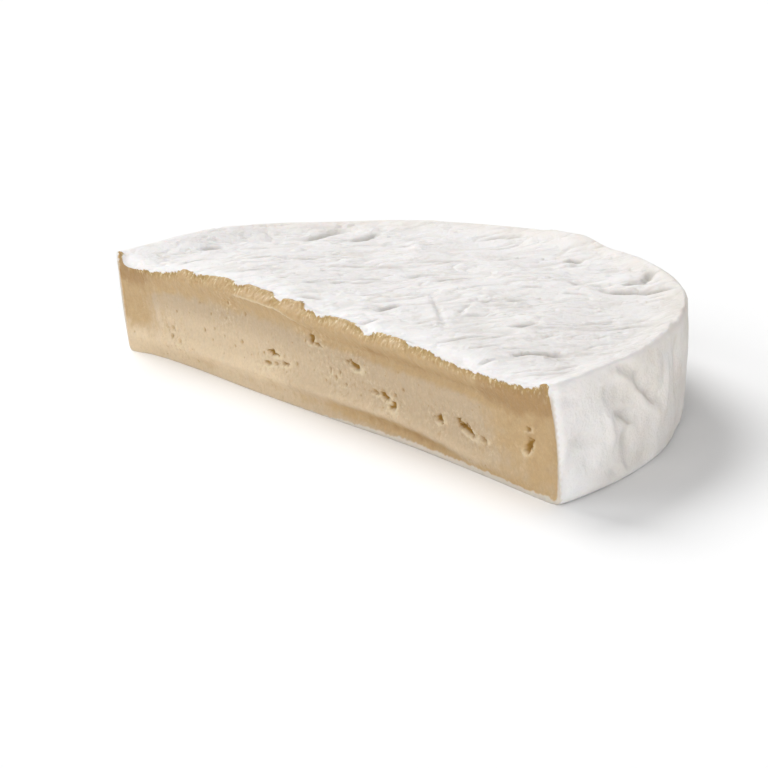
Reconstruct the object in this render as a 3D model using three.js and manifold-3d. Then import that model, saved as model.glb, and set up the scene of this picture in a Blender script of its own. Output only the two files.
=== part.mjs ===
// Half of a soft-ripened cheese wheel with a white bloomy rind, cut across the middle with a knife.
//
// The cheese is one piece: the rind is mould that grew on the paste and can't be taken off it, so the
// half wheel is a single solid. It is made here the way the real one is. The curd takes the shape of a
// round hoop (a lathe), it settles and ripens a little out of true (its points are moved), and a knife
// goes through it once (a boolean cut along the knife's wandering path).
//
// Millimetres, +Z up. The half wheel lies flat. Its cut face looks along -Y and runs along X, and its
// rim bulges along +Y. The origin is the centre of its bounding box's underside.
import * as THREE from "three";
import { mergeVertices } from "three/addons/utils/BufferGeometryUtils.js";
import Module from "manifold-3d";

// Driving dimensions of the whole wheel, before it was cut.
const DIAMETER = 240;
const HEIGHT = 36;
const TOP_EDGE_RADIUS = 2.4;
const FOOT_EDGE_RADIUS = 2.0;
const RIM_BULGE = 0.7; // how far the rim swells at half height
const RADIUS = DIAMETER / 2;

// How finely the curved faces are divided.
const ROUND_SEGMENTS = 96;
const EDGE_STEPS = 4;
const RIM_STEPS = 6;
const FACE_RINGS = 9; // rings across the top and the underside
const KNIFE_STEP = 4;
const KNIFE_MARGIN = 10; // how far the knife's solid reaches past the wheel

// The knife's path, seen from above: [x, y] where it met the top rind and where it left at the foot.
// It wandered a few millimetres, and it leaned in under the cheese.
const CUT_AT_TOP = [[-120, -2.5], [-106, -1.5], [-80, 0.5], [-40, 1.7], [0, 1.3], [50, 0.3], [120, -0.8]];
const CUT_AT_FOOT = [[-120, -2.8], [-106, 0.4], [-80, 1.7], [-40, 1.4], [0, 2.0], [45, 3.3], [80, 2.4], [120, 0.7]];

// How far the rim settled out of round: [degrees from +X, millimetres] at the top edge and at the foot.
const SWELL_AT_TOP = [[0, 0], [45, 0.8], [70, -1.0], [100, 0], [150, 1.4], [180, 0.7], [270, 0], [360, 0]];
const SWELL_AT_FOOT = [[0, 0.6], [20, 1.1], [45, -0.9], [100, 0], [150, -0.6], [180, -2.2], [270, 0], [360, 0.6]];

// The top isn't flat: its edge stands up as a lip, a moat runs inside the lip, and the middle is uneven.
const LIP_RISE = 1.3;
const LIP_WIDTH = 7;
const MOAT_DEPTH = 1.5;
const MOAT_INSET = 20; // from the rim to the bottom of the moat
const MOAT_WIDTH = 15;
const HUMP_RISE = 1.6;
const HUMP_CENTRE = [-42, 10];
const HUMP_WIDTH = 30;

// A smooth curve through [at, value] points, as a function of at. It is level at its two ends.
function curveThrough(points) {
  const slope = (i) =>
    i === 0 || i === points.length - 1
      ? 0
      : (points[i + 1][1] - points[i - 1][1]) / (points[i + 1][0] - points[i - 1][0]);
  return (at) => {
    const last = points.length - 1;
    if (at <= points[0][0]) return points[0][1];
    if (at >= points[last][0]) return points[last][1];
    const i = points.findIndex((point) => point[0] > at) - 1;
    const [[start, from], [end, to]] = [points[i], points[i + 1]];
    const span = end - start;
    const t = (at - start) / span;
    return (
      from * (1 - t) ** 2 * (1 + 2 * t) +
      to * t ** 2 * (3 - 2 * t) +
      slope(i) * span * t * (1 - t) ** 2 -
      slope(i + 1) * span * t ** 2 * (1 - t)
    );
  };
}

const bell = (distance, width) => Math.exp(-((distance / width) ** 2));

// How far the top stands above or below HEIGHT at a point seen from above.
function topRise(x, y) {
  const inset = RADIUS - Math.hypot(x, y);
  const hump = bell(Math.hypot(x - HUMP_CENTRE[0], y - HUMP_CENTRE[1]), HUMP_WIDTH);
  return (
    LIP_RISE * bell(inset, LIP_WIDTH) -
    MOAT_DEPTH * bell(inset - MOAT_INSET, MOAT_WIDTH) +
    HUMP_RISE * hump
  );
}

// The hoop's shape: the wheel's half section, from the middle of the underside round to that of the top.
function hoopSection() {
  const section = [];
  for (let ring = 0; ring < FACE_RINGS; ring++)
    section.push(new THREE.Vector2(((RADIUS - FOOT_EDGE_RADIUS) * ring) / FACE_RINGS, 0));
  for (let step = 0; step <= EDGE_STEPS; step++) {
    const turn = (Math.PI / 2) * (step / EDGE_STEPS);
    section.push(
      new THREE.Vector2(
        RADIUS - FOOT_EDGE_RADIUS * (1 - Math.sin(turn)),
        FOOT_EDGE_RADIUS * (1 - Math.cos(turn)),
      ),
    );
  }
  const wall = HEIGHT - FOOT_EDGE_RADIUS - TOP_EDGE_RADIUS;
  for (let step = 1; step < RIM_STEPS; step++) {
    const share = step / RIM_STEPS;
    section.push(
      new THREE.Vector2(
        RADIUS + RIM_BULGE * Math.sin(Math.PI * share),
        FOOT_EDGE_RADIUS + wall * share,
      ),
    );
  }
  for (let step = 0; step <= EDGE_STEPS; step++) {
    const turn = (Math.PI / 2) * (step / EDGE_STEPS);
    section.push(
      new THREE.Vector2(
        RADIUS - TOP_EDGE_RADIUS * (1 - Math.cos(turn)),
        HEIGHT - TOP_EDGE_RADIUS * (1 - Math.sin(turn)),
      ),
    );
  }
  for (let ring = FACE_RINGS - 1; ring >= 0; ring--)
    section.push(new THREE.Vector2(((RADIUS - TOP_EDGE_RADIUS) * ring) / FACE_RINGS, HEIGHT));
  return section;
}

// The whole wheel as it came out of the hoop and ripened, still uncut.
function ripenedWheel() {
  const wheel = new THREE.LatheGeometry(hoopSection(), ROUND_SEGMENTS).rotateX(Math.PI / 2);
  const swellAtTop = curveThrough(SWELL_AT_TOP);
  const swellAtFoot = curveThrough(SWELL_AT_FOOT);
  const points = wheel.getAttribute("position");
  for (let i = 0; i < points.count; i++) {
    const [x, y, z] = [points.getX(i), points.getY(i), points.getZ(i)];
    const angle = (THREE.MathUtils.radToDeg(Math.atan2(y, x)) + 360) % 360;
    const swell = THREE.MathUtils.lerp(swellAtFoot(angle), swellAtTop(angle), z / HEIGHT);
    const grow = 1 + swell / RADIUS;
    points.setXYZ(i, x * grow, y * grow, z * (1 + topRise(x, y) / HEIGHT));
  }
  return wheel;
}

// Everything on the side of the knife that is kept, as a solid with the knife's path as its front.
function keptSide() {
  const reach = RADIUS + KNIFE_MARGIN;
  const atTop = curveThrough(CUT_AT_TOP);
  const atFoot = curveThrough(CUT_AT_FOOT);
  const outline = new THREE.Shape();
  outline.moveTo(-reach, 0);
  for (let x = -RADIUS; x <= RADIUS; x += KNIFE_STEP) outline.lineTo(x, 0);
  outline.lineTo(reach, 0);
  outline.lineTo(reach, reach);
  outline.lineTo(-reach, reach);
  outline.closePath();
  const depth = HEIGHT + 2 * KNIFE_MARGIN;
  const kept = new THREE.ExtrudeGeometry(outline, { depth, bevelEnabled: false });
  kept.translate(0, 0, -KNIFE_MARGIN);
  const points = kept.getAttribute("position");
  for (let i = 0; i < points.count; i++) {
    if (points.getY(i) > 0) continue;
    const [x, share] = [points.getX(i), points.getZ(i) / HEIGHT];
    points.setY(i, THREE.MathUtils.lerp(atFoot(x), atTop(x), share));
  }
  return kept;
}

const wasm = await Module();
wasm.setup();

function solidFrom(geometry) {
  const plain = geometry.clone();
  plain.deleteAttribute("normal");
  plain.deleteAttribute("uv");
  const merged = mergeVertices(plain, 1e-3);
  return new wasm.Manifold(
    new wasm.Mesh({
      numProp: 3,
      vertProperties: new Float32Array(merged.getAttribute("position").array),
      triVerts: new Uint32Array(merged.index.array),
    }),
  );
}

function geometryFrom(solid) {
  const { vertProperties, triVerts } = solid.getMesh();
  const geometry = new THREE.BufferGeometry();
  geometry.setAttribute("position", new THREE.BufferAttribute(vertProperties, 3));
  geometry.setIndex(new THREE.BufferAttribute(triVerts, 1));
  geometry.computeVertexNormals();
  return geometry;
}

const halfWheel = geometryFrom(solidFrom(ripenedWheel()).intersect(solidFrom(keptSide())));
halfWheel.computeBoundingBox();
const { min, max } = halfWheel.boundingBox;

const cheese = new THREE.Mesh(
  halfWheel,
  new THREE.MeshStandardMaterial({ color: 0xf0ece6, roughness: 0.85, metalness: 0 }),
);
cheese.name = "cheese_half_wheel";
cheese.position.set(-(min.x + max.x) / 2, -(min.y + max.y) / 2, -min.z);

const group = new THREE.Group();
group.add(cheese);
export default group;
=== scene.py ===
import math

import bpy
import numpy as np
from mathutils import Matrix, Vector, noise
from mathutils.geometry import delaunay_2d_cdt


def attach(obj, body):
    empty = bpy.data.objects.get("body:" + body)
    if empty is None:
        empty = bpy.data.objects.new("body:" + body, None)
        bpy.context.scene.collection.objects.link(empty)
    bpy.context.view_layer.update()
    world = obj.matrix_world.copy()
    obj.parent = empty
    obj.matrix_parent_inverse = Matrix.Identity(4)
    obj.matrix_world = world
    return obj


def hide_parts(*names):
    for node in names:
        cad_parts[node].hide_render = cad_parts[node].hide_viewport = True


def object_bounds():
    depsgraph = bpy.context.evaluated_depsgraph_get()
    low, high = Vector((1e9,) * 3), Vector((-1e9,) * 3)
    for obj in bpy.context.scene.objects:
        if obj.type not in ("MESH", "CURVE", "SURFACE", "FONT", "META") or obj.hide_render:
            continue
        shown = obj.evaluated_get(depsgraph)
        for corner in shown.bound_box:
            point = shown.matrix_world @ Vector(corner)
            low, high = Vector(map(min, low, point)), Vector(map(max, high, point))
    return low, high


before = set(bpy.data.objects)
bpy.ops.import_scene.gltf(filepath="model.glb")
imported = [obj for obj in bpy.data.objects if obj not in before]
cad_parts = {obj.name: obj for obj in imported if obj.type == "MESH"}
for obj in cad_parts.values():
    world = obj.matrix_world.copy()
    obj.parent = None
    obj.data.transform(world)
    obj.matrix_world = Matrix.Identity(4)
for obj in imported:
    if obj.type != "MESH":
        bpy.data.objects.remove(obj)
cad_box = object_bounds()


# ==== The moulded wheel =====================================================================
# Curd is ladled into a round hoop and settles there into a low wheel. It is salted, turned and
# ripened, so its edges are soft, its wall bulges and its top sinks inside a raised lip.
# Lengths in this section and the next are millimetres from the middle of the hoop's foot.
HOOP_RADIUS = 120
HOOP_HEIGHT = 36
TOP_EDGE_RADIUS = 1.2
FOOT_EDGE_RADIUS = 2.0
RIM_BULGE = 0.7
SWELL_AT_TOP = [(0, 0), (48, 1.4), (70, -1.0), (100, 0), (150, 1.4), (180, 0.7)]
SWELL_AT_FOOT = [(0, 0.6), (20, 1.1), (48, -1.4), (100, 0), (150, -0.6), (180, -2.2)]
LIP_RISE, LIP_WIDTH = 1.3, 7
LIP_WAVE = [
    (0, 0), (55, 0.3), (72, 0), (83, -0.8), (90, 1.2), (97, 0.3), (112, -0.2), (128, 0.2),
    (140, 0.2), (150, 1.2), (160, 1.9), (168, 1.2), (175, 0.3), (180, 0),
]  # how much higher the lip stands, by degrees from +X
LIP_WAVE_WIDTH = 9
MOAT_DEPTH, MOAT_INSET, MOAT_WIDTH = 1.5, 20, 15
HUMP_RISE, HUMP_CENTRE, HUMP_WIDTH = 1.6, (-42, 10), 30

# How far apart the mesh's points lie, finest on the cut face, and on a few rows of the top beside it,
# each given as its y and its own spacing.
CUT_MESH = 0.5
TOP_MESH = 0.86
RIM_MESH = 1.2
FOOT_MESH = 2.6
ROWS_BY_CUT = [(0.42, 0.46), (0.9, 0.55), (1.5, 0.7), (2.2, 0.85)]
GRID_FROM_CUT = 3.1  # where the top's own grid starts
EDGE_GAP = 0.6  # how near an edge the inner points come, as a share of their spacing


def curve_through(points):
    """A smooth curve through (at, value) points, level at both ends."""
    at, value = np.array(points, float).T
    slope = np.zeros(len(at))
    slope[1:-1] = (value[2:] - value[:-2]) / (at[2:] - at[:-2])

    def curve(x):
        x = np.clip(x, at[0], at[-1])
        i = np.clip(np.searchsorted(at, x, side="right") - 1, 0, len(at) - 2)
        span = at[i + 1] - at[i]
        t = (x - at[i]) / span
        start = value[i] * (1 - t) ** 2 * (1 + 2 * t) + slope[i] * span * t * (1 - t) ** 2
        end = value[i + 1] * t**2 * (3 - 2 * t) - slope[i + 1] * span * t**2 * (1 - t)
        return start + end

    return curve


def bell(distance, width):
    return np.exp(-((distance / width) ** 2))


def ramp(value, low, high):
    """0 at low, 1 at high and smooth between them."""
    t = np.clip((value - low) / (high - low), 0, 1)
    return t * t * (3 - 2 * t)


def rim_profile():
    """The wheel's outline as (radius, height), from the flat of the top to the flat of the foot."""
    turn = np.linspace(0, np.pi / 2, 9)
    wall = HOOP_HEIGHT - TOP_EDGE_RADIUS - FOOT_EDGE_RADIUS
    share = np.linspace(0, 1, int(wall / CUT_MESH))[1:-1]
    top = np.column_stack((
        HOOP_RADIUS - TOP_EDGE_RADIUS * (1 - np.sin(turn)),
        HOOP_HEIGHT - TOP_EDGE_RADIUS * (1 - np.cos(turn)),
    ))
    side = np.column_stack((
        HOOP_RADIUS + RIM_BULGE * np.sin(np.pi * share),
        HOOP_HEIGHT - TOP_EDGE_RADIUS - wall * share,
    ))
    foot = np.column_stack((
        HOOP_RADIUS - FOOT_EDGE_RADIUS * (1 - np.cos(turn)),
        FOOT_EDGE_RADIUS * (1 - np.sin(turn)),
    ))
    return np.vstack((top, side, foot))


profile = rim_profile()
profile_steps = np.linalg.norm(np.diff(profile, axis=0), axis=1)
profile_run = np.concatenate(([0], np.cumsum(profile_steps)))
top_flat = profile[0, 0]
foot_flat = profile[-1, 0]
places = []
triangles = []


def put(new):
    places.extend(tuple(p) for p in new)
    return list(range(len(places) - len(new), len(places)))


def arc(radius, height, step):
    turn = np.linspace(0, np.pi, int(np.pi * radius / step))[1:-1]
    heights = np.full(len(turn), height)
    return put(np.column_stack((radius * np.cos(turn), radius * np.sin(turn), heights)))


def cut_line(half_length, height):
    x = np.linspace(-half_length, half_length, int(2 * half_length / CUT_MESH))[1:-1]
    return put(np.column_stack((x, np.zeros(len(x)), np.full(len(x), height))))


def triangular_grid(low, high, step):
    rows = np.arange(low[1], high[1], step * math.sqrt(3) / 2)
    return np.vstack([
        np.column_stack((x, np.full(len(x), y)))
        for k, y in enumerate(rows)
        for x in [np.arange(low[0] + (k % 2) * step / 2, high[0], step)]
    ])


def skin(loop, loop_flat, inner, inner_flat, turned):
    """Fills a loop of points with triangles that use the inner points too. The flat places say where
    each point lies when the surface is laid out flat."""
    ids = loop + inner
    flat = [Vector(p) for p in np.vstack((loop_flat, inner_flat)).tolist()]
    edges = [(i, (i + 1) % len(loop)) for i in range(len(loop))]
    _, _, faces, sources, _, _ = delaunay_2d_cdt(flat, edges, [], 1, 1e-7)
    for face in faces:
        corners = [ids[sources[v][0]] for v in face]
        triangles.append(corners[::-1] if turned else corners)


right_end = put([(r, 0, z) for r, z in profile])
left_end = put([(-r, 0, z) for r, z in profile])
top_cut = cut_line(top_flat, HOOP_HEIGHT)
foot_cut = cut_line(foot_flat, 0)
top_arc = arc(top_flat, HOOP_HEIGHT, TOP_MESH)
foot_arc = arc(foot_flat, 0, FOOT_MESH / 2)

# The cut face, finest of all, laid out as (x, z).
grid = triangular_grid((-HOOP_RADIUS, 0), (HOOP_RADIUS, HOOP_HEIGHT), CUT_MESH)
reach = np.interp(grid[:, 1], profile[::-1, 1], profile[::-1, 0])
margin = CUT_MESH * EDGE_GAP
grid = grid[
    (np.abs(grid[:, 0]) < reach - margin)
    & (grid[:, 1] > margin)
    & (grid[:, 1] < HOOP_HEIGHT - margin)
]
inner = put(np.column_stack((grid[:, 0], np.zeros(len(grid)), grid[:, 1])))
loop = left_end[-1:] + foot_cut + right_end[::-1] + top_cut[::-1] + left_end[:-1]
skin(loop, np.array(places)[loop][:, [0, 2]], inner, grid, False)
cut_ids = set(loop + inner)

# The top, as (x, y), with a few finer rows along the cut.
rows = []
for row_y, spacing in ROWS_BY_CUT:
    row_x = np.arange(-top_flat + 1, top_flat - 1, spacing)
    rows.append(np.column_stack((row_x, np.full(len(row_x), row_y))))
rows.append(triangular_grid((-HOOP_RADIUS, GRID_FROM_CUT), (HOOP_RADIUS, HOOP_RADIUS), TOP_MESH))
grid = np.vstack(rows)
grid = grid[np.hypot(grid[:, 0], grid[:, 1]) < top_flat - TOP_MESH * EDGE_GAP]
inner = put(np.column_stack((grid, np.full(len(grid), HOOP_HEIGHT))))
loop = left_end[:1] + top_cut + right_end[:1] + top_arc
skin(loop, np.array(places)[loop][:, :2], inner, grid, False)

# The foot it stands on.
margin = FOOT_MESH * EDGE_GAP
grid = triangular_grid((-HOOP_RADIUS, margin), (HOOP_RADIUS, HOOP_RADIUS), FOOT_MESH)
grid = grid[np.hypot(grid[:, 0], grid[:, 1]) < foot_flat - margin]
inner = put(np.column_stack((grid, np.zeros(len(grid)))))
loop = left_end[-1:] + foot_cut + right_end[-1:] + foot_arc
skin(loop, np.array(places)[loop][:, :2], inner, grid, True)

# The rim, laid out as (way round, way down).
half_round = np.pi * HOOP_RADIUS
margin = RIM_MESH * EDGE_GAP
grid = triangular_grid((margin, margin), (half_round, profile_run[-1]), RIM_MESH)
grid = grid[(grid[:, 0] < half_round - margin) & (grid[:, 1] < profile_run[-1] - margin)]
turn = grid[:, 0] / HOOP_RADIUS
radius = np.interp(grid[:, 1], profile_run, profile[:, 0])
height = np.interp(grid[:, 1], profile_run, profile[:, 1])
inner = put(np.column_stack((radius * np.cos(turn), radius * np.sin(turn), height)))
loop = right_end[:1] + top_arc + left_end + foot_arc[::-1] + right_end[:0:-1]
top_steps = [half_round * (k + 1) / (len(top_arc) + 1) for k in range(len(top_arc))]
foot_steps = [half_round * (k + 1) / (len(foot_arc) + 1) for k in range(len(foot_arc))]
loop_flat = (
    [(0, 0)]
    + [(way_round, 0) for way_round in top_steps]
    + [(half_round, run) for run in profile_run]
    + [(way_round, profile_run[-1]) for way_round in reversed(foot_steps)]
    + [(0, run) for run in profile_run[:0:-1]]
)
skin(loop, loop_flat, inner, grid, True)

ideal = np.array(places, float)
on_cut_face = np.zeros(len(ideal), bool)
on_cut_face[list(cut_ids)] = True

# Settling and ripening take the wheel a little out of true.
x, y, z = ideal.T
angle = np.degrees(np.arctan2(y, x))
height_share = z / HOOP_HEIGHT
swell_at_foot = curve_through(SWELL_AT_FOOT)(angle)
swell_at_top = curve_through(SWELL_AT_TOP)(angle)
swell = swell_at_foot * (1 - height_share) + swell_at_top * height_share
inset = HOOP_RADIUS - np.hypot(x, y)
top_rise = (
    LIP_RISE * bell(inset, LIP_WIDTH)
    - MOAT_DEPTH * bell(inset - MOAT_INSET, MOAT_WIDTH)
    + HUMP_RISE * bell(np.hypot(x - HUMP_CENTRE[0], y - HUMP_CENTRE[1]), HUMP_WIDTH)
    + curve_through(LIP_WAVE)(angle) * bell(inset, LIP_WAVE_WIDTH)
)
grow = 1 + swell / HOOP_RADIUS
real = np.column_stack((x * grow, y * grow, z * (1 + top_rise / HOOP_HEIGHT)))


# ==== The knife's cut =======================================================================
# One pass of a long knife. It wandered and leaned in under the cheese. Soft ripened paste under
# the top rind dragged and tore, the paste over the foot bulged, and tongues of rind hung down.
CUT_AT_TOP = [(-120, -2.5), (-106, -1.5), (-80, 0.5), (-40, 1.7), (0, 1.3), (50, 0.3), (120, -0.8)]
CUT_AT_FOOT = [
    (-120, -2.8), (-106, 0.4), (-80, 1.7), (-40, 1.4), (0, 2.0), (45, 3.3), (80, 2.4), (120, 0.7),
]
CUT_PULL = 40  # how far behind the cut the paste gives with it
# How far the white rind hangs down over the face, along x. Below 0 the paste stands up past the edge.
RIND_LINE = [
    (-121, -0.9), (-115.8, -0.9), (-114.9, 1.5), (-113.8, 4.4), (-111.5, 5.0), (-108.5, 4.4),
    (-104.5, 2.8), (-100, 1.8), (-88, 1.4), (-84, 1.0), (-80, -0.4), (-76, -1.2), (-68.5, 0.1),
    (-60, -0.8), (-52, -1.4), (-43, 0.3), (-38, -1.1), (-26, -1.2), (-20, 0.3), (-13, -1.7),
    (-7, -2.0), (-4, 0), (1, 0.4), (5, 1.3), (10, -0.6), (23, -0.7), (27, 0.4), (31, 2.0),
    (36, 0.4), (40, -0.4), (50, -0.5), (54, 0.8), (61, 0.2), (66, 1.1), (70, 1.9), (75, 1.6),
    (78, 2.7), (84, 2.2), (95, 1.0), (106, 0.9), (111, 1.1), (115, 0.5), (118, 0.3), (121, 0.9),
]
TORN_FROM = 20  # the height above which that torn line holds
TEETH_DEPTH = 0.8  # how far its fine teeth reach up and down
TONGUE_HOLD = 0.55  # how much of a hanging tongue lies on the face; the rest is the edge pulled down
# Where nothing tore it, how far the white laps over the face's left end, its right end, and its foot
# along x, and how far the rim and the top stay white past their own edge.
LEFT_REACH, RIGHT_REACH = 0.5, 1.5
FOOT_REACH = [(-20, -0.3), (40, 1.7)]
RIM_REACH = 0.6

# Along the face: how strongly each band shows at that x, how high the ridge runs, and how strong the
# highlight painted along its crest is.
UPPER_BULGE = [
    (-120, 0), (-104, 0.2), (-84, 0.6), (-40, 0.8), (0, 1), (60, 1), (95, 0.7), (112, 0.1), (120, 0),
]
GROOVE = [
    (-120, 0), (-100, 0.1), (-50, 0.25), (-8, 0.3), (16, 0.8), (45, 1), (85, 0.9), (100, 0.3), (112, 0),
]
RIDGE_HEIGHT = [(-120, 7), (-60, 7.5), (0, 8.6), (40, 8.8), (60, 7.6), (80, 5.4), (120, 4)]
RIDGE_RISE = [
    (-120, 0.2), (-100, 0.9), (-70, 1.2), (-30, 1.3), (20, 1.4), (60, 1.2), (85, 0.7), (105, 0.4),
    (120, 0),
]
RIDGE_PAINTED_HIGHLIGHT = [
    (-120, 0.2), (-95, 0.9), (-50, 1.0), (-28, 0.7), (-12, 0.0), (8, 0.2), (35, 0.5), (60, 0.3),
    (75, 0.4), (100, 0),
]
UNDERCUT = [
    (-105, 0), (-85, 0.2), (-25, 0.25), (0, 0.35), (18, 0.9), (40, 1.1), (62, 1.0), (74, 0.5),
    (90, 0.7), (108, 0.3), (120, 0),
]
UPPER_Z, GROOVE_Z = 32.0, 27.0
SMEAR_LINE = [(-50, 31.8), (-30, 32.3), (-14, 31.8), (-2, 29.6)]  # a thin lip of paste, as x and height
SMEAR_RISE = 0.8

# The larger eyes: x, height, half width, half height, lean in degrees, depth.
EYES = [
    (-2.2, 25.8, 1.5, 1.3, 0, 2.3),
    (1.2, 24.6, 2.2, 0.5, -4, 1.4),
    (-25.6, 15.9, 2.8, 0.8, -4, 1.9),
    (-29.4, 11.9, 1.9, 0.7, 0, 1.2),
    (-24.4, 12.6, 1.6, 0.6, 10, 0.9),
    (-19.0, 13.6, 2.4, 0.7, 8, 1.2),
    (21.3, 21.6, 2.8, 1.0, -10, 2.1),
    (7.7, 17.5, 0.7, 1.0, 20, 0.9),
    (10.6, 15.4, 0.7, 0.8, 0, 0.8),
    (12.9, 17.4, 0.6, 1.1, -10, 0.9),
    (15.7, 14.0, 0.8, 0.7, 0, 0.8),
    (31.6, 15.0, 2.0, 0.8, 0, 1.1),
    (36.4, 14.6, 2.3, 1.0, -10, 2.0),
    (40.8, 12.5, 1.3, 1.3, 0, 1.8),
    (64.4, 13.7, 1.7, 1.1, 0, 2.0),
    (77.4, 13.9, 3.7, 1.1, -23, 2.3),
    (86.1, 12.3, 1.6, 0.8, 0, 1.1),
    (107.7, 21.3, 1.2, 0.7, 0, 1.1),
    (107.1, 15.8, 1.2, 2.1, -30, 2.1),
    (-90.6, 13.3, 1.4, 0.9, 0, 0.7),
    (-85.8, 9.0, 1.2, 0.8, 0, 0.6),
    (-51.6, 28.3, 0.7, 0.7, 0, 0.9),
    (-53.8, 22.5, 0.6, 0.6, 0, 0.6),
]
EYE_SPREAD = 1.2  # an eye's ragged edge runs past its half sizes by this
EYE_OPEN = 0.8  # the share of an eye's depth that stays open
EYE_LIP_RISE = 0.3
CURDLED_REACH = 9  # how far round an eye the paste is curdled

knife_at_top = curve_through(CUT_AT_TOP)(x)
knife_at_foot = curve_through(CUT_AT_FOOT)(x)
knife = knife_at_foot * (1 - height_share) + knife_at_top * height_share
real[:, 1] += knife * (1 - ramp(y, 0, CUT_PULL))

# How deep each point of the face lies under the rind, and how far outer points are from the cut.
reach = np.interp(z, profile[::-1, 1], profile[::-1, 0])
from_top = HOOP_HEIGHT - z
from_rim = reach - np.abs(x)
from_end = HOOP_RADIUS - np.abs(x)
depth = np.minimum(np.minimum(from_top, z), from_rim)
rind_edge = np.where(on_cut_face, np.maximum(depth, 0), -y)
torn_part = z > TORN_FROM
near_top = bell(from_top, 4.5) * ramp(z, TORN_FROM, 30)

# Where the white stops on the face: along a torn line at the top, neatly at the rim and the foot.
table_x = np.arange(-130, 130, 0.2)
serration = np.array([
    noise.noise((v / 3.3, 3.1, 0)) + 0.6 * noise.noise((v / 1.3, 8.4, 0)) for v in table_x
])
teeth = np.interp(x, table_x, serration)
rind_line = curve_through(RIND_LINE)(x)
top_reach = np.where(rind_line > 0, TONGUE_HOLD, 1.0) * rind_line + TEETH_DEPTH * teeth
foot_reach = curve_through(FOOT_REACH)(x) + TEETH_DEPTH * teeth
end_reach = np.where(x < 0, LEFT_REACH, RIGHT_REACH) + 0.5 * teeth
rind_reach = np.where(z < from_rim, foot_reach, end_reach)
rind_reach = np.where(from_top <= np.minimum(z, from_rim), top_reach, rind_reach)
lapped = np.where(torn_part & (inset > 1.5), top_reach, RIM_REACH)
rind_reach = np.where(on_cut_face, rind_reach, lapped)


def band(height, rise, half_width):
    """A level band of the face, as how far it stands proud there. Below 0 it is a hollow."""
    return rise * bell(z - height, half_width)


# The bands of the face, as how far it stands proud of the knife's path: the bulge under the top rind,
# the groove, the ridge low down and the hollow under it, the ends that pull back, a streak near the
# left end, and the rind along the foot.
upper = curve_through(UPPER_BULGE)(x)
groove = curve_through(GROOVE)(x)
ridge = curve_through(RIDGE_RISE)(x)
ridge_z = curve_through(RIDGE_HEIGHT)(x)
undercut = curve_through(UNDERCUT)(x)
proud = (
    upper * band(UPPER_Z, rise=1.4, half_width=2.8)
    + groove * band(GROOVE_Z, rise=-1.1, half_width=2.0)
    + ridge * band(ridge_z, rise=1.3, half_width=2.6)
    + undercut * band(ridge_z - 4.4, rise=-0.9, half_width=2.2)
    + ramp(np.abs(x), 98, 116) * band(18, rise=-1.2, half_width=16)
    + bell(x + 97, 3) * band(22, rise=0.45, half_width=12)
    + ramp(x, 0, 45) * band(1.2, rise=0.5, half_width=1.1)
)
smear = ramp(x, -50, -40) * ramp(-x, 2, 14)
smear_z = curve_through(SMEAR_LINE)(x)
# A highlight painted along the smear's upper edge, where it catches the light.
smear_highlight = smear * on_cut_face * band(smear_z + 0.2, rise=1, half_width=0.4)
smear_shape = ramp(z, smear_z - 0.5, smear_z + 0.3) * bell(np.maximum(z - smear_z, 0), 2.2)
proud += SMEAR_RISE * smear * smear_shape

# The eyes are pits with ragged edges. Each has a lip on its right where the knife pushed the paste.
ragged = np.zeros(len(x))
ragged[on_cut_face] = [
    noise.noise((u / 1.1, v / 1.1, 2.5)) + 0.5 * noise.noise((u / 0.5, v / 0.5, 7.5))
    for u, v in zip(x[on_cut_face], z[on_cut_face])
]
pit = np.zeros(len(x))
lit_eye_lip = np.zeros(len(x))
curdled = np.zeros(len(x))
for eye_x, eye_z, half_width, half_height, lean, eye_depth in EYES:
    turned = math.radians(lean)
    beside = x - eye_x
    above = z - eye_z
    along = beside * math.cos(turned) + above * math.sin(turned)
    up = above * math.cos(turned) - beside * math.sin(turned)
    off = np.hypot(along / half_width, up / half_height) / EYE_SPREAD
    pit_shape = 1 - ramp(off * (1 + 0.7 * ragged), 0.35, 1.15)
    pit = np.maximum(pit, EYE_OPEN * eye_depth * pit_shape)
    lip = bell(off * (1 + 0.2 * ragged) - 1.45, 0.35) * ramp(beside - 2 * above, -1.5, 2.0)
    lip *= min(1, eye_depth)
    proud += EYE_LIP_RISE * lip
    # The lip also gets a painted highlight in the finish.
    lit_eye_lip = np.maximum(lit_eye_lip, lip)
    curdled = np.maximum(curdled, bell(np.hypot(beside, 1.4 * above), CURDLED_REACH))
curdled *= ramp(-x, -112, -88)
real[:, 1] -= (proud - pit) * on_cut_face * ramp(depth, 0, 1.2)

# The edge between the face and the top: mounds of paste stand up along it, tongues of rind pull it down.
EDGE_WIDTH = 1.7
MOUND_BULGE = 0.7
TONGUE_BULGE = 0.35
edge_share = bell(np.hypot(from_top, y), EDGE_WIDTH) * torn_part * ramp(from_end, -2, 1)
mound = ramp(-rind_line, -0.6, 1.2)
real[:, 2] -= edge_share * (0.3 + 0.45 * rind_line + 0.45 * teeth)
real[:, 1] += edge_share * (0.35 - 0.15 * rind_line + 0.2 * teeth)
real[:, 1] -= MOUND_BULGE * mound * bell(from_top - 2.8, 2.0) * on_cut_face * ramp(from_end, 3, 14)
hanging = on_cut_face * ramp(rind_reach - rind_edge, -0.4, 0.5) * near_top
real[:, 1] -= TONGUE_BULGE * hanging

# The upright edges between the face and the rim are soft too.
CORNER_PULL, CORNER_WIDTH = 0.45, 1.5
corner_share = bell(np.hypot(from_rim, y), CORNER_WIDTH) * (np.abs(x) > HOOP_RADIUS / 2)
real[:, 0] -= np.sign(x) * CORNER_PULL * corner_share
real[:, 1] += CORNER_PULL * corner_share


# ==== The bloomy rind and the paste's own relief ============================================
# The rind is a felt of white mould. It took the folds of the cloth the wheel was turned in,
# and dents from handling. The paste has small eyes, a crumb at the top and drag marks.
FOLD_TURN = math.radians(54)  # the way the folds run, from +X
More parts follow.
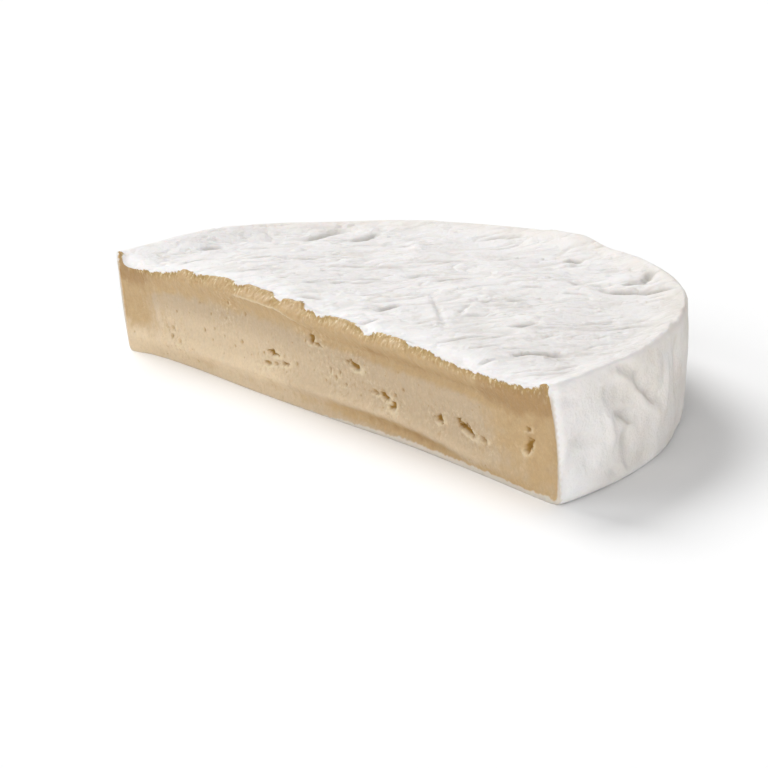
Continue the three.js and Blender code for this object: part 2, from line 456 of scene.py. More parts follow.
# The folds, from the widest layer to the finest: how long and how far apart, how strong, and which noise.
FOLD_LAYERS = [(48, 16, 4.0, 1.0), (26, 8, 3.8, 2.0), (13, 4.6, 2.6, 3.0), (6.5, 2.5, 0.9, 4.0)]
# The deepest folds and scratches: where each starts and ends, its depth and half width.
DEEP_FOLDS = [
    ((-41.1, 37.8), (-20.1, 58.8), 1.1, 1.5),
    ((-22.1, 62.8), (-9.1, 76.8), 0.8, 1.3),
    ((-5.6, 82.8), (1.1, 98.1), 1.1, 1.1),
    ((1.9, 47.8), (11.9, 66.8), 0.8, 1.3),
    ((10.9, 66.8), (26.9, 85.8), 0.9, 1.2),
    ((-30.1, 13.8), (-10.1, 36.8), 0.8, 1.3),
    ((-19.1, 33.8), (-14.1, 41.8), 0.9, 2.4),
    ((-11.1, 46.8), (-2.1, 57.8), 0.9, 2.4),
    ((-1.1, 22.8), (4.9, 29.8), 1, 1.3),
    ((16.9, 14.8), (14.9, 25.8), 1.2, 2.2),
    ((9.9, 42.8), (48.9, 15.8), 0.4, 0.8),
    ((22.9, 34.8), (51.9, 14.8), 0.4, 0.8),
    ((40.9, 27.8), (31.9, 41.8), 0.5, 0.9),
    ((31.9, 41.8), (37.9, 48.8), 0.7, 1),
    ((40.9, 27.8), (46.9, 35.8), 0.6, 1),
    ((30.9, 64.8), (34.9, 70.8), 0.9, 1.3),
    ((44.9, 70.8), (51.9, 74.8), 0.9, 1.3),
    ((12.4, 101.3), (17.4, 103.3), 1.9, 2.2),
    ((36.9, 80.8), (48.9, 86.8), 1.4, 2),
    ((64.5, 87.6), (50.5, 81.0), 1.9, 1.9),
    ((72.0, 92.8), (60.5, 85.4), 1.9, 1.9),
    ((56.4, 95.8), (53.9, 88.8), 1.6, 2.4),
    ((56.2, 94.8), (48.8, 106.3), 1.4, 1.9),
    ((63.9, 31.8), (67.9, 38.8), 1.2, 1.8),
    ((58.9, 6.8), (66.9, 22.8), 1, 1.3),
    ((84.4, 15.3), (94.9, 27.8), 1.5, 1.6),
    ((72.9, 35.8), (96.9, 68.8), 0.7, 1.6),
    ((38.9, 50.8), (42.9, 55.8), 0.9, 1.2),
    ((55.9, 41.8), (63.9, 45.8), 0.9, 1.3),
    ((-34.1, 99.8), (-28.1, 108.8), 0.8, 1.6),
    ((-28.1, 105.8), (-23.1, 110.8), 0.9, 2),
    ((-70.1, 66.8), (-72.1, 83.8), 1.2, 2.6),
    ((-87.1, 56.8), (-83.1, 76.8), 1, 2.6),
    ((-103.1, 24.8), (-100.1, 31.8), 1, 2.2),
    ((-92.1, 7.8), (-89.1, 20.8), 0.9, 2),
    ((-71.1, 25.8), (-53.1, 42.8), 0.8, 1.5),
    ((-61.1, 8.8), (-49.1, 24.8), 0.7, 1.5),
    ((-65.1, 60.8), (-49.1, 78.8), 0.8, 1.8),
    ((-16.1, 5.8), (-7.1, 9.8), 1.1, 1.8),
    ((24.9, 1.8), (23.9, 9.8), 1, 1.8),
    ((73.9, 10.8), (75.9, 17.8), 0.8, 1.2),
    ((84.9, 2.8), (84.9, 8.8), 0.7, 1.1),
]
FOLD_SINK = 1.4  # millimetres down for a fold of depth 1
BANK_RISE = 0.5  # how high the bank beside it stands, as a share of its depth
CUT_DIP, CUT_DIP_WIDTH = 0.7, 6  # the knife pressed the top down along the cut
# Two soft ridges of the top: start, end, rise and half width.
TOP_RIDGES = [((-58, 89), (-23, 61), 0.8, 3.0), ((-92, 40), (-80, 22), 0.6, 3.0)]
# Dents in the rim: degrees from +X, height, half length round the rim, half height, lean, depth.
RIM_DENTS = [
    (12.0, 27.0, 5.5, 4.0, -20, 1.1),
    (23.0, 28.0, 4.0, 5.0, 0, -0.7),
    (3.0, 30.0, 4.0, 2.0, -10, 0.7),
    (5.5, 17.0, 7.5, 2.4, -12, 0.9),
    (5.9, 10.5, 2.8, 3.4, 0, 0.8),
    (14.0, 12.0, 4.5, 4.0, 0, 0.7),
    (47.0, 12.0, 9.0, 7.0, 0, 1.1),
    (72.0, 20.0, 9.0, 6.0, 20, 1.0),
    (97.0, 13.0, 12.0, 5.0, -10, 1.0),
    (118.0, 23.0, 7.0, 5.0, 30, 1.1),
    (134.0, 14.0, 10.0, 6.0, 0, 0.9),
    (152.0, 22.0, 8.0, 4.0, -25, 1.1),
    (169.0, 15.0, 6.0, 6.0, 0, 0.8),
]
# Creases in the rim, and the ridges between them: a start and an end, each in degrees from +X and height,
# a depth (below 0 for a ridge) and a half width.
RIM_CREASES = [
    ((11.2, 37.0), (12.4, 34.0), 0.8, 1.0),
    ((13.1, 34.1), (16.9, 31.0), 1.1, 1.5),
    ((16.9, 31.0), (19.2, 23.8), 1.3, 1.8),
    ((19.2, 23.8), (21.6, 20.2), 1.5, 1.9),
    ((21.0, 20.4), (23.8, 20.0), 1.2, 1.4),
    ((13.0, 32.6), (16.7, 25.2), -1.0, 1.6),
    ((16.7, 25.2), (19.4, 19.5), -1.0, 1.7),
    ((19.4, 19.5), (23.8, 13.0), -0.8, 2.0),
    ((11.6, 21.0), (16.9, 17.8), 2.0, 1.3),
    ((13.4, 16.8), (16.8, 14.8), -0.8, 1.4),
    ((10.0, 24.0), (10.3, 11.5), -0.9, 1.3),
    ((10.8, 7.6), (15.0, 0.8), -0.7, 1.1),
    ((9.6, 6.0), (13.5, 0.6), 0.6, 1.2),
    ((32.4, 33.0), (31.0, 12.0), 1.4, 2.6),
    ((27.3, 28.0), (24.0, 11.0), -1.0, 1.7),
    ((38.0, 31.0), (36.5, 14.0), -0.8, 2.2),
    ((61.0, 27.0), (66.0, 9.0), 0.9, 2.0),
    ((88.0, 30.0), (80.0, 14.0), -0.8, 2.0),
    ((91.0, 29.0), (84.0, 12.0), 0.9, 1.6),
    ((125.0, 28.0), (131.0, 12.0), -0.8, 2.2),
    ((141.0, 31.0), (146.0, 20.0), 1.0, 1.6),
    ((160.0, 29.0), (163.0, 12.0), -0.7, 2.0),
]


def stroke(px, py, start, end, drift, fade):
    """How strongly a stroke from start to end shows at each point, and how far off it the point is.
    It drifts from side to side, and fades over a share of its length at both ends."""
    run = np.subtract(end, start)
    length = math.hypot(*run)
    along = ((px - start[0]) * run[0] + (py - start[1]) * run[1]) / length
    off = ((py - start[1]) * run[0] - (px - start[0]) * run[1]) / length
    share = ramp(along, -1.5, length * fade) * ramp(length - along, -1.5, length * fade)
    return share, off + drift * np.sin(along / 3.7 + start[0])


# Each deep fold pushes up a bank on its right side.
fold = np.zeros(len(x))
swelling = np.zeros(len(x))
for start, end, fold_depth, half_width in DEEP_FOLDS:
    share, off = stroke(x, y, start, end, 0.3 * half_width, 0.4)
    fold = np.maximum(fold, share * fold_depth * bell(off, 0.8 * half_width))
    bank = BANK_RISE * bell(off + 2.4 * half_width, 1.8 * half_width)
    swelling = np.maximum(swelling, share * fold_depth * bank)
for start, end, rise, half_width in TOP_RIDGES:
    share, off = stroke(x, y, start, end, 1.0, 0.4)
    swelling += share * rise * bell(off, half_width)
on_top = (from_top < 0.01) * ramp(y, 0.3, 3)
real[:, 2] += (swelling - FOLD_SINK * fold - CUT_DIP * bell(y, CUT_DIP_WIDTH)) * on_top

round_rim = np.radians(angle) * HOOP_RADIUS
on_rim = (~on_cut_face) * ramp(y, 0, 3) * ramp(z, 0, 3) * ramp(from_top, 0, 2.5)
dent = np.zeros(len(x))
for at, dent_z, half_length, half_height, lean, dent_depth in RIM_DENTS:
    tilt = math.radians(lean)
    beside = round_rim - math.radians(at) * HOOP_RADIUS
    above = z - dent_z
    along = beside * math.cos(tilt) + above * math.sin(tilt)
    up = above * math.cos(tilt) - beside * math.sin(tilt)
    dent += dent_depth * (1 - ramp(np.hypot(along / half_length, up / half_height), 0.2, 1.3))
for start, end, crease_depth, half_width in RIM_CREASES:
    ends = [(math.radians(at) * HOOP_RADIUS, crease_z) for at, crease_z in (start, end)]
    share, off = stroke(round_rim, z, *ends, 0.4, 0.3)
    dent += share * crease_depth * bell(off, half_width)
outward = np.column_stack((np.cos(np.radians(angle)), np.sin(np.radians(angle))))
real[:, :2] -= outward * (dent * on_rim)[:, None]

# From millimetres about the hoop to metres, with the cheese in the middle of its own box.
low, high = real.min(0), real.max(0)
box_middle = np.array([(low[0] + high[0]) / 2, (low[1] + high[1]) / 2, 0])
settled = (real - box_middle) / 1000
settled[:, :2] += (np.array(cad_box[0]) + np.array(cad_box[1]))[:2] / 2
half = bpy.data.meshes.new("cheese_half")
half.from_pydata(settled.tolist(), [], triangles)
half.update()

# Marks on the mesh for the relief and the finish. The paste's ripeness mark darkens it where it ripened
# under the rind and along the groove, and adds painted shade in the hollow under the ridge. Its pale mark
# lightens it towards the left end and adds a painted highlight along the ridge's crest.
ripe_and_shade = (
    0.5 * ramp(from_top, 12.5, 5.5)
    + groove * band(GROOVE_Z - 0.2, rise=0.45, half_width=2.5)
    + 0.6 * ramp(x, 76, 106) * (0.6 + 0.4 * ramp(z, 6, 20))
    + 0.55 * ramp(-x, 84, 114) * ramp(z, 4, 17)
    # Painted shade in the hollow under the ridge, as riper paste.
    + undercut * band(ridge_z - 4.2, rise=0.72, half_width=2.4)
    + bell(x + 98, 1.8) * band(20, rise=-0.3, half_width=12)
)
# A highlight painted along the ridge's crest, as paler paste.
painted_ridge_highlight = curve_through(RIDGE_PAINTED_HIGHLIGHT)(x) * band(ridge_z, rise=1, half_width=2.5)
warm_rim = on_rim * (0.35 + 0.5 * ramp(angle, 4, 15))
warm_lip = 0.6 * ramp(inset, 14, 2) * ramp(y, 30, 80) * (z > 30)
marks = {
    "rind_edge": rind_edge,
    "rind_reach": rind_reach,
    "top_edge": near_top,
    "on_cut": on_cut_face * ramp(depth, 0, 1.5),
    "on_top": on_top,
    "on_rim": on_rim,
    "on_foot": (~on_cut_face) * (z < 0.01) * ramp(y, 0, 3),
    "ripe_and_shade": np.clip(ripe_and_shade, 0, 1),
    "pale": np.clip(0.7 * ramp(x, 50, -55) * ramp(from_top, 12, 20) + painted_ridge_highlight, 0, 1),
    "warm": np.clip(warm_rim + warm_lip, 0, 1),
    "lit_eye_lip": lit_eye_lip,
    "curdled": curdled * on_cut_face,
    # Whiter felt where the knife pressed the top, and a painted bounce light low on the rim by the near
    # corner.
    "pressed_and_bounce_lit": np.maximum(bell(y, 9) * on_top, on_rim * bell(z - 3, 12) * bell(angle, 9)),
    # Painted shade over the right of the top, which faces away from the light.
    "shade_on_right": on_top * ramp(x, 20, 95),
    "smear": smear_highlight,
    "dent": np.clip(dent / 2, 0, 1) * on_rim,
    "cut_section": on_cut_face * ramp(from_top, 2, 5),
    "pit": np.clip(pit / 1.8, 0, 1),
    # The fold mark also sets painted shade in the creases.
    "fold": np.clip(fold * on_top, 0, 1),
}
for name, values in marks.items():
    half.attributes.new(name, "FLOAT", "POINT").data.foreach_set("value", values.astype(np.float32))
cheese = bpy.data.objects.new("cheese_half", half)
bpy.context.scene.collection.objects.link(cheese)


def add(tree, kind, inputs=None, **settings):
    made = tree.nodes.new(kind)
    for name, value in settings.items():
        setattr(made, name, value)
    for socket, value in (inputs or {}).items():
        if isinstance(value, bpy.types.NodeSocket):
            tree.links.new(value, made.inputs[socket])
        else:
            made.inputs[socket].default_value = value
    return made


def calc(tree, operation, *values):
    return add(tree, "ShaderNodeMath", dict(enumerate(values)), operation=operation).outputs[0]


def times(tree, first, *others):
    for other in others:
        first = calc(tree, "MULTIPLY", first, other)
    return first


def plus(tree, first, *others):
    for other in others:
        first = calc(tree, "ADD", first, other)
    return first


def step(tree, value, low, high, start=0.0, end=1.0):
    """Goes smoothly from start to end as value goes from low to high."""
    made = add(tree, "ShaderNodeMapRange", {"Value": value}, interpolation_type="SMOOTHSTEP")
    for socket, number in (("From Min", low), ("From Max", high), ("To Min", start), ("To Max", end)):
        made.inputs[socket].default_value = number
    return made.outputs["Result"]


def scaled(tree, vector, by):
    return add(tree, "ShaderNodeVectorMath", {0: vector, "Scale": by}, operation="SCALE").outputs[0]


def stretched(tree, vector, *lengths):
    """The vector divided by a length along each axis. A length of None flattens that axis."""
    by = [1 / length if length else 0 for length in lengths]
    return add(tree, "ShaderNodeVectorMath", {0: vector, 1: by}, operation="MULTIPLY").outputs[0]


def cloud(tree, vector, scale=1.0, detail=2.0, roughness=0.5, w=0.0):
    """Noise from 0 to 1. Each w gives another one."""
    inputs = {"Vector": vector, "Scale": scale, "Detail": detail, "Roughness": roughness, "W": w}
    return add(tree, "ShaderNodeTexNoise", inputs, noise_dimensions="4D").outputs["Fac"]


def swing(tree, *vector_and_scale, **look):
    """The same noise, centred on 0."""
    return calc(tree, "SUBTRACT", cloud(tree, *vector_and_scale, **look), 0.5)


def fold_field(tree, spot):
    """Folds over the top: soft hills that meet in sharp valleys where a stretched, drifting noise crosses
    its middle. Gives their height and how near each point is to a valley."""
    grain = add(
        tree, "ShaderNodeVectorRotate", {"Vector": spot, "Angle": -FOLD_TURN}, rotation_type="Z_AXIS"
    ).outputs[0]
    height = valley = None
    for length, spacing, weight, w in FOLD_LAYERS:
        lain = stretched(tree, grain, length, spacing, None)
        wander = add(
            tree, "ShaderNodeTexNoise", {"Vector": lain, "Scale": 0.7, "Detail": 1.0, "W": w},
            noise_dimensions="4D",
        ).outputs["Color"]
        drift = stretched(tree, wander, 1.25, 1.25, None)
        lain = add(tree, "ShaderNodeVectorMath", {0: lain, 1: drift}, operation="ADD").outputs[0]
        from_valley = calc(tree, "ABSOLUTE", swing(tree, lain, detail=1.0, roughness=0.4, w=w + 0.5))
        hills = calc(tree, "SUBTRACT", calc(tree, "MINIMUM", from_valley, 0.13), 0.07)
        gate = step(tree, cloud(tree, lain, 0.6, detail=1.0, w=w + 7), 0.44, 0.62, 0.12, 1.0)
        layer = times(tree, hills, gate, weight)
        line = times(tree, step(tree, from_valley, 0.0, 0.045, 1.0, 0.0), gate)
        height = layer if height is None else plus(tree, height, layer)
        valley = line if valley is None else calc(tree, "MAXIMUM", valley, line)
    pocked = cloud(tree, stretched(tree, grain, 4.5, 2.6, None), detail=1.0, w=12.0)
    pock = times(tree, step(tree, pocked, 0.58, 0.72), gate)
    height = plus(tree, height, times(tree, pock, -0.5), times(tree, valley, -0.25))
    return height, calc(tree, "MAXIMUM", valley, times(tree, pock, 0.7))


# The relief of the whole piece, put in as geometry.
relief = bpy.data.node_groups.new("rind_and_paste_relief", "GeometryNodeTree")
relief.is_modifier = True
for name, kind in [
    ("Cheese", "NodeSocketGeometry"),
    ("Fold depth", "NodeSocketFloat"),
    ("Dent depth", "NodeSocketFloat"),
    ("Nap depth", "NodeSocketFloat"),
    ("Crumb depth", "NodeSocketFloat"),
    ("Eye gap", "NodeSocketFloat"),
    ("Eye depth", "NodeSocketFloat"),
    ("Seed", "NodeSocketInt"),
    ("Finish", "NodeSocketMaterial"),
]:
    relief.interface.new_socket(name, in_out="INPUT", socket_type=kind)
relief.interface.new_socket("Cheese", in_out="OUTPUT", socket_type="NodeSocketGeometry")
given = add(relief, "NodeGroupInput").outputs
position = add(relief, "GeometryNodeInputPosition").outputs[0]
spot = scaled(relief, position, 1000.0)


def share_of(name):
    read = add(relief, "GeometryNodeInputNamedAttribute", {"Name": name}, data_type="FLOAT")
    return read.outputs["Attribute"]


def compared(value, operation, limit):
    inputs = {0: value, 1: limit}
    return add(relief, "FunctionNodeCompare", inputs, data_type="FLOAT", operation=operation).outputs[0]


# The top: folds, the felt's nap and a slow rolling. The rim: dents and the same nap.
nap = times(relief, swing(relief, spot, 0.4, detail=3.0, roughness=0.6, w=4.0), given["Nap depth"])
rolling = times(relief, swing(relief, spot, 0.04, detail=1.0, w=5.0), 3.0)
folds = times(relief, fold_field(relief, spot)[0], given["Fold depth"])
top_relief = times(relief, plus(relief, folds, nap, rolling), share_of("on_top"))
dents = cloud(relief, stretched(relief, spot, 17, 17, 21), detail=1.5, roughness=0.4, w=6.0)
dents = times(relief, step(relief, dents, 0.42, 0.72, 0.5, -1.2), given["Dent depth"])
rim_relief = times(relief, plus(relief, dents, nap), share_of("on_rim"))

# The paste: a torn crumb under the top edge, upright drag marks, and a grit that is coarser by the eyes.
crumb = swing(relief, stretched(relief, spot, 1.5, 2.4, 3.4), roughness=0.6, w=8.0)
lumps = swing(relief, stretched(relief, spot, 5.5, 6, 5), detail=1.0, w=9.0)
crumb = plus(relief, crumb, times(relief, lumps, 1.4))
crumb = times(relief, crumb, share_of("top_edge"), given["Crumb depth"])
drag = times(relief, swing(relief, stretched(relief, spot, 3.2, 6, 14), w=10.0), 0.7)
grit = swing(relief, spot, 0.35, detail=3.0, roughness=0.7, w=11.0)
grit = times(relief, grit, plus(relief, times(relief, share_of("curdled"), 0.9), 0.5))

# Pinholes, scattered over the middle of the face. A few are larger than the rest.
young = compared(share_of("ripe_and_shade"), "LESS_THAN", 0.25)
cut_side = compared(share_of("on_cut"), "GREATER_THAN", 0.9)
where = add(relief, "FunctionNodeBooleanMath", {0: young, 1: cut_side}, operation="AND").outputs[0]
scatter = add(
    relief,
    "GeometryNodeDistributePointsOnFaces",
    {
        "Mesh": given["Cheese"],
        "Selection": where,
        "Distance Min": given["Eye gap"],
        "Density Max": 60000.0,
        "Seed": given["Seed"],
    },
    distribute_method="POISSON",
).outputs["Points"]
chance = add(
    relief, "FunctionNodeRandomValue", {2: 0.12, 3: 1.0, "Seed": given["Seed"]}, data_type="FLOAT"
).outputs[1]
nearest = add(relief, "GeometryNodeSampleNearest", {"Geometry": scatter}, domain="POINT").outputs[0]


def of_nearest(value, kind):
    inputs = {"Geometry": scatter, "Value": value, "Index": nearest}
    return add(relief, "GeometryNodeSampleIndex", inputs, data_type=kind, domain="POINT").outputs[0]


hole_spot = of_nearest(position, "FLOAT_VECTOR")
hole_size = calc(relief, "POWER", of_nearest(chance, "FLOAT"), 5.0)
hole_size = plus(relief, times(relief, hole_size, 0.0006), 0.0002)
to_hole = add(relief, "ShaderNodeVectorMath", {0: position, 1: hole_spot}, operation="DISTANCE")
pinhole = step(relief, calc(relief, "DIVIDE", to_hole.outputs["Value"], hole_size), 0.5, 1.2, 1.0, 0.0)
pinhole = times(relief, pinhole, share_of("on_cut"))
hole_relief = times(relief, pinhole, given["Eye depth"], times(relief, hole_size, -1000.0))
cut_relief = times(relief, plus(relief, crumb, drag, grit, hole_relief), share_of("on_cut"))

# The foot took the weave of the mat that the wheel ripened on.
mat = add(
    relief, "ShaderNodeTexWave", {"Vector": spot, "Scale": 0.1, "Distortion": 1.2, "Detail": 1.0},
    bands_direction="X",
).outputs["Fac"]
foot_relief = times(relief, mat, -0.5, share_of("on_foot"))

total = times(relief, plus(relief, top_relief, rim_relief, cut_relief, foot_relief), 0.001)
push = scaled(relief, add(relief, "GeometryNodeInputNormal").outputs[0], total)
kept = add(
    relief, "GeometryNodeStoreNamedAttribute",
    {"Geometry": given["Cheese"], "Name": "pinhole", "Value": pinhole},
    data_type="FLOAT", domain="POINT",
).outputs[0]
moved = add(relief, "GeometryNodeSetPosition", {"Geometry": kept, "Offset": push}).outputs[0]
solid = add(relief, "GeometryNodeRealizeInstances", {"Geometry": moved}).outputs[0]
finished = add(relief, "GeometryNodeSetMaterial", {"Geometry": solid, "Material": given["Finish"]})
add(relief, "NodeGroupOutput", {"Cheese": finished.outputs[0]})

# The finish. White, matt felt outside; inside, a pale chalky heart that turns to a darker,
# waxier paste where it has ripened under the rind. Moisture gives the cut face a soft shine.
WHITE_FELT = (0.82, 0.80, 0.79, 1)
WARM_FELT = (0.785, 0.735, 0.675, 1)
THIN_AND_SHADED_FELT = (0.60, 0.565, 0.525, 1)
PRESSED_AND_BOUNCE_LIT_FELT = (0.88, 0.87, 0.865, 1)
CREASE_SHADE_FELT = (0.50, 0.475, 0.44, 1)
CUT_FELT_AND_SHADE = (0.64, 0.58, 0.50, 1)
PALE_PASTE = (0.68, 0.54, 0.365, 1)
HEART = (0.505, 0.385, 0.25, 1)
BUTTER = (0.50, 0.345, 0.175, 1)
AMBER = (0.39, 0.24, 0.10, 1)
OLIVE = (0.40, 0.27, 0.09, 1)
CREAM = (0.78, 0.67, 0.46, 1)
GAP_OCHRE_AND_SHADE = (0.36, 0.22, 0.07, 1)
EYE_OCHRE_AND_SHADE = (0.35, 0.19, 0.03, 1)

finish = bpy.data.materials.new("bloomy_rind_and_paste")
finish.use_nodes = True
coat = finish.node_tree
coat.nodes.clear()
mm = scaled(coat, add(coat, "ShaderNodeTexCoord").outputs["Object"], 1000.0)


def marked(name):
    return add(coat, "ShaderNodeAttribute", attribute_name=name).outputs["Fac"]


def blended(share, first, second, blend="MIX"):
    inputs = {"Factor": share, 6: first, 7: second}
    return add(coat, "ShaderNodeMix", inputs, data_type="RGBA", blend_type=blend).outputs[2]


# Where the white stops: the marked line, frayed most along the torn top edge.
torn_edge = marked("top_edge")
fray = swing(coat, stretched(coat, mm, 1, 5 / 3, 20 / 9), detail=4.0, roughness=0.7, w=1.0)
fray = times(coat, fray, plus(coat, times(coat, torn_edge, 2.6), 0.9))
past_edge = plus(coat, calc(coat, "SUBTRACT", marked("rind_edge"), marked("rind_reach")), fray)
felt = step(coat, past_edge, -0.25, 0.4, 1.0, 0.0)

# The rind: warmer on the rim and thinner and greyer in random patches; painted shade in the rim's dents,
# along the fold valleys and over the right of the top; whiter where pressed along the cut, with a painted
# bounce light low on the rim by the near corner.
mottle = cloud(coat, mm, 0.06, detail=4.0, roughness=0.6, w=2.0)
fine_mottle = cloud(coat, mm, 0.5, detail=3.0, roughness=0.6, w=3.0)
fold_height, valley = fold_field(coat, mm)
# Thin mould in random patches, and painted shade in the rim's dents.
thin_and_shade = plus(coat, step(coat, mottle, 0.5, 0.75, 0.0, 0.5), times(coat, marked("dent"), 0.8))
thin_and_shade = times(coat, thin_and_shade, step(coat, fine_mottle, 0.3, 0.7, 0.4, 1.0))
thin_and_shade = plus(
    coat,
    thin_and_shade,
    # Painted shade along the fold valleys and over the right of the top.
    times(coat, valley, marked("on_top"), 0.4),
    times(coat, marked("shade_on_right"), step(coat, fine_mottle, 0.3, 0.7, 0.3, 0.1)),
)
thin_and_shade = add(coat, "ShaderNodeClamp", {"Value": thin_and_shade}).outputs[0]
warmth = times(coat, marked("warm"), step(coat, mottle, 0.35, 0.65, 0.45, 1.0))
rind_colour = blended(warmth, WHITE_FELT, WARM_FELT)
rind_colour = blended(thin_and_shade, rind_colour, THIN_AND_SHADED_FELT)
# Whiter where pressed along the cut, and a painted bounce light low on the rim by the near corner.
rind_colour = blended(times(coat, marked("pressed_and_bounce_lit"), 0.8), rind_colour, PRESSED_AND_BOUNCE_LIT_FELT)
# Painted shade in the folds' creases.
rind_colour = blended(times(coat, marked("fold"), 0.8), rind_colour, CREASE_SHADE_FELT)
# The rind where the knife cut through it: its own darker section, greyed further as painted shade.
rind_colour = blended(marked("cut_section"), rind_colour, CUT_FELT_AND_SHADE)

# The paste: its ripeness first, with the painted highlight along the ridge and the painted shade under
# it, then the torn crumb of the upper band.
ripeness_and_shade = plus(coat, marked("ripe_and_shade"), times(coat, swing(coat, mm, 0.22, w=4.0), 0.7))
paste_colour = blended(marked("pale"), HEART, PALE_PASTE)
paste_colour = blended(step(coat, ripeness_and_shade, 0.05, 0.5), paste_colour, BUTTER)
paste_colour = blended(step(coat, ripeness_and_shade, 0.5, 1.0), paste_colour, AMBER)
under_rind = times(coat, step(coat, past_edge, 0.2, 3.2, 0.9, 0.0), torn_edge)
paste_colour = blended(under_rind, paste_colour, OLIVE)
crumb_light = cloud(coat, stretched(coat, mm, 1.1, 1.6, 2.0), detail=3.0, roughness=0.6, w=5.0)
torn = times(coat, step(coat, past_edge, 1.5, 4.5, 1.0, 0.1), torn_edge)
# The crumb's own darker and paler bits, with painted shade in the gaps between crumbs and painted glints
# on them.
gaps_and_shade = times(coat, step(coat, crumb_light, 0.48, 0.38), torn, 0.8)
paste_colour = blended(gaps_and_shade, paste_colour, GAP_OCHRE_AND_SHADE)
flecks_and_glints = times(coat, step(coat, crumb_light, 0.54, 0.64), torn, 0.75)
paste_colour = blended(flecks_and_glints, paste_colour, CREAM)
# The painted highlight along the smear, as cream paste.
paste_colour = blended(times(coat, marked("smear"), 0.7), paste_colour, CREAM)

# Then its curds and speckle, and the eyes: a highlight painted on their pushed-up lips, and their own
# ochre darkened further as painted shade in the pits.
curdle = cloud(coat, stretched(coat, mm, 3, 3, 4), detail=4.0, roughness=0.65, w=13.0)
paste_colour = blended(step(coat, curdle, 0.55, 0.75, 0.0, 0.35), paste_colour, PALE_PASTE)
paste_colour = blended(step(coat, curdle, 0.45, 0.25, 0.0, 0.3), paste_colour, AMBER)
curds = cloud(coat, stretched(coat, mm, 1.5, 1.5, 1.7), detail=3.0, roughness=0.6, w=14.0)
by_eyes = marked("curdled")
paste_colour = blended(times(coat, step(coat, curds, 0.52, 0.66), by_eyes, 0.38), paste_colour, CREAM)
paste_colour = blended(times(coat, step(coat, curds, 0.46, 0.32), by_eyes, 0.5), paste_colour, AMBER)
speckle = step(coat, cloud(coat, mm, 1.1, detail=3.0, roughness=0.7, w=6.0), 0.3, 0.7, 0.94, 1.05)
speckle = add(coat, "ShaderNodeCombineColor", {0: speckle, 1: speckle, 2: speckle}).outputs[0]
paste_colour = blended(1.0, paste_colour, speckle, "MULTIPLY")
# A highlight painted on each eye's lip, as cream paste.
paste_colour = blended(times(coat, marked("lit_eye_lip"), 0.5), paste_colour, CREAM)
# The eyes' own ochre, darkened as painted shade in the pits and pinholes.
hollow_and_shade = step(coat, marked("pit"), 0.05, 0.7)
hollow_and_shade = calc(coat, "MAXIMUM", hollow_and_shade, times(coat, marked("pinhole"), 0.6))
paste_colour = blended(hollow_and_shade, paste_colour, EYE_OCHRE_AND_SHADE)

surface = add(coat, "ShaderNodeBsdfPrincipled", {
    "Base Color": blended(felt, paste_colour, rind_colour),
    "Roughness": step(coat, felt, 0.0, 1.0, 0.5, 0.95),
    "Subsurface Weight": 0.2,
    "Subsurface Scale": 0.003,
    "Subsurface Radius": (1.0, 0.55, 0.3),
    "Specular IOR Level": 0.4,
})
felt_height = plus(
    coat,
    times(coat, cloud(coat, mm, 1.5, detail=4.0, roughness=0.7, w=7.0), 0.8),
    times(coat, cloud(coat, mm, 0.45, roughness=0.6, w=9.0), 1.4),
    times(coat, fold_height, 0.9, marked("on_top")),
)
paste_height = plus(
    coat,
    times(coat, cloud(coat, mm, 1.1, detail=3.0, roughness=0.65, w=8.0), 0.7),
    times(coat, curdle, 1.2),
)
heights = {"Factor": felt, 2: paste_height, 3: felt_height}
height = add(coat, "ShaderNodeMix", heights, data_type="FLOAT").outputs[0]
bump = add(coat, "ShaderNodeBump", {"Strength": 0.6, "Distance": 0.0005, "Height": height})
coat.links.new(bump.outputs[0], surface.inputs["Normal"])
add(coat, "ShaderNodeOutputMaterial", {"Surface": surface.outputs[0]})

modifier = cheese.modifiers.new("relief", "NODES")
modifier.node_group = relief
settings = {
    "Fold depth": 1.0, "Dent depth": 1.0, "Nap depth": 0.6, "Crumb depth": 1.6,
    "Eye gap": 0.0042, "Eye depth": 1.0, "Seed": 4, "Finish": finish,
}
for item in relief.interface.items_tree:
    if item.item_type == "SOCKET" and item.in_out == "INPUT" and item.name in settings:
        modifier[item.identifier] = settings[item.name]
bpy.context.view_layer.update()
evaluated = cheese.evaluated_get(bpy.context.evaluated_depsgraph_get())
final = bpy.data.meshes.new_from_object(evaluated)
cheese.modifiers.remove(modifier)
cheese.data = final
bpy.data.meshes.remove(half)

# It stands flat: nothing of the relief reaches below the floor.
corners = np.empty(len(final.vertices) * 3)
final.vertices.foreach_get("co", corners)
corners = corners.reshape(-1, 3)
corners[:, 2] = np.maximum(corners[:, 2], 0)
final.vertices.foreach_set("co", corners.ravel())
final.shade_smooth()
final.update()
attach(cheese, "root")
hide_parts("cheese_half_wheel")


# ==== The table and the studio ==============================================================
# A pale seamless floor under soft, nearly even light from above. None of it is part of the cheese.
FLOOR_EDGE = 6  # metres from the middle to each side
FLOOR_PALE = (0.93, 0.93, 0.93, 1)
SKY_STRENGTH = 0.22
# The soft lights: which way each shines, its strength, and its spread in degrees.
LIGHTS = {
    "window": ((0.82, -0.1, -0.76), 2.3, 32),
    "overhead": ((0.1, 0.15, -1.0), 0.3, 40),
    "left": ((0.58, 0.81, -0.6), 0.8, 40),
    "fill": ((-0.8, 0.48, -0.16), 2.3, 60),
}

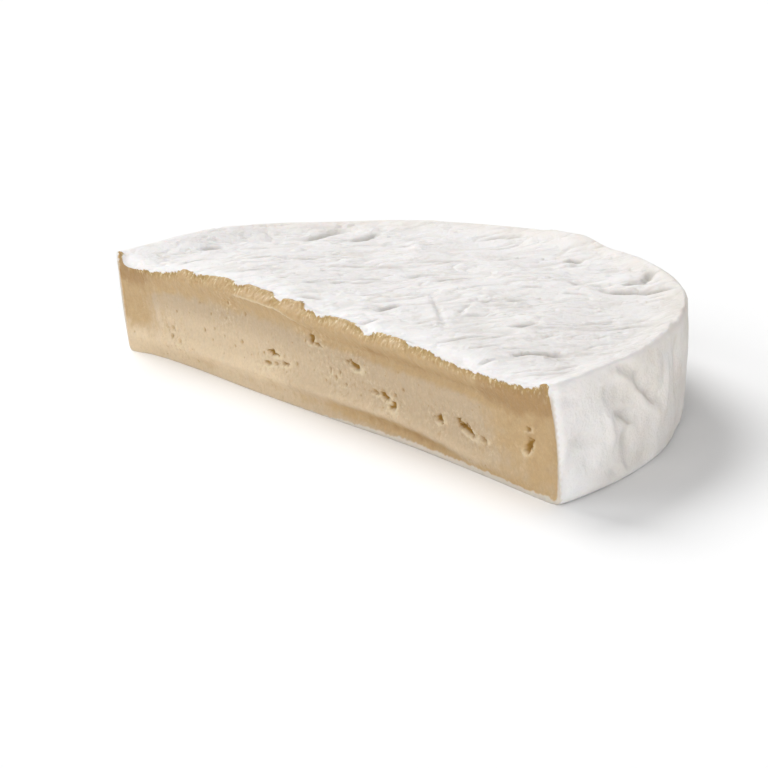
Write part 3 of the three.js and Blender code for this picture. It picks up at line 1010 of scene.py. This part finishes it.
floor_mesh = bpy.data.meshes.new("floor")
floor_corners = [(x * FLOOR_EDGE, y * FLOOR_EDGE, 0) for x, y in ((-1, -1), (1, -1), (1, 1), (-1, 1))]
floor_mesh.from_pydata(floor_corners, [], [(0, 1, 2, 3)])
floor = bpy.data.objects.new("floor", floor_mesh)
bpy.context.scene.collection.objects.link(floor)
pale = bpy.data.materials.new("pale_floor")
pale.use_nodes = True
pale_surface = pale.node_tree.nodes["Principled BSDF"]
pale_surface.inputs["Base Color"].default_value = FLOOR_PALE
pale_surface.inputs["Roughness"].default_value = 0.9
pale_surface.inputs["Specular IOR Level"].default_value = 0.1
floor_mesh.materials.append(pale)

world = bpy.data.worlds.new("studio")
bpy.context.scene.world = world
world.use_nodes = True
sky = world.node_tree.nodes["Background"]
sky.inputs["Color"].default_value = (1, 1, 1, 1)
sky.inputs["Strength"].default_value = SKY_STRENGTH

for name, (towards, strength, spread) in LIGHTS.items():
    light = bpy.data.lights.new(name, "SUN")
    light.energy = strength
    light.angle = math.radians(spread)
    holder = bpy.data.objects.new(name, light)
    holder.rotation_mode = "QUATERNION"
    holder.rotation_quaternion = Vector(towards).to_track_quat("-Z", "Y")
    bpy.context.scene.collection.objects.link(holder)
bpy.context.scene.view_settings.view_transform = "Standard"

# The camera stands to the right of the cut and a little above, with a long lens. It aims at a point
# measured from the hoop's middle, in metres.
CAMERA_TURN = math.radians(54.41)
CAMERA_RISE = math.radians(17.48)
CAMERA_ROLL = math.radians(-3.86)
CAMERA_DISTANCE = 0.7348
AIM = Vector((-0.0115, 0.0364, 0))
LENS = 100.66
back = Vector((
    math.sin(CAMERA_TURN) * math.cos(CAMERA_RISE),
    -math.cos(CAMERA_TURN) * math.cos(CAMERA_RISE),
    math.sin(CAMERA_RISE),
))
level = (-back).cross(Vector((0, 0, 1))).normalized()
upright = level.cross(-back)
across = level * math.cos(CAMERA_ROLL) + upright * math.sin(CAMERA_ROLL)
facing = Matrix((across, back.cross(across), back)).transposed().to_4x4()
lens = bpy.data.cameras.new("camera")
lens.lens = LENS
lens.sensor_width = 36
lens.clip_start = 0.05
camera = bpy.data.objects.new("camera", lens)
bpy.context.scene.collection.objects.link(camera)
stand = AIM - Vector(box_middle / 1000) + back * CAMERA_DISTANCE
camera.matrix_world = Matrix.Translation(stand) @ facing
bpy.context.scene.camera = camera
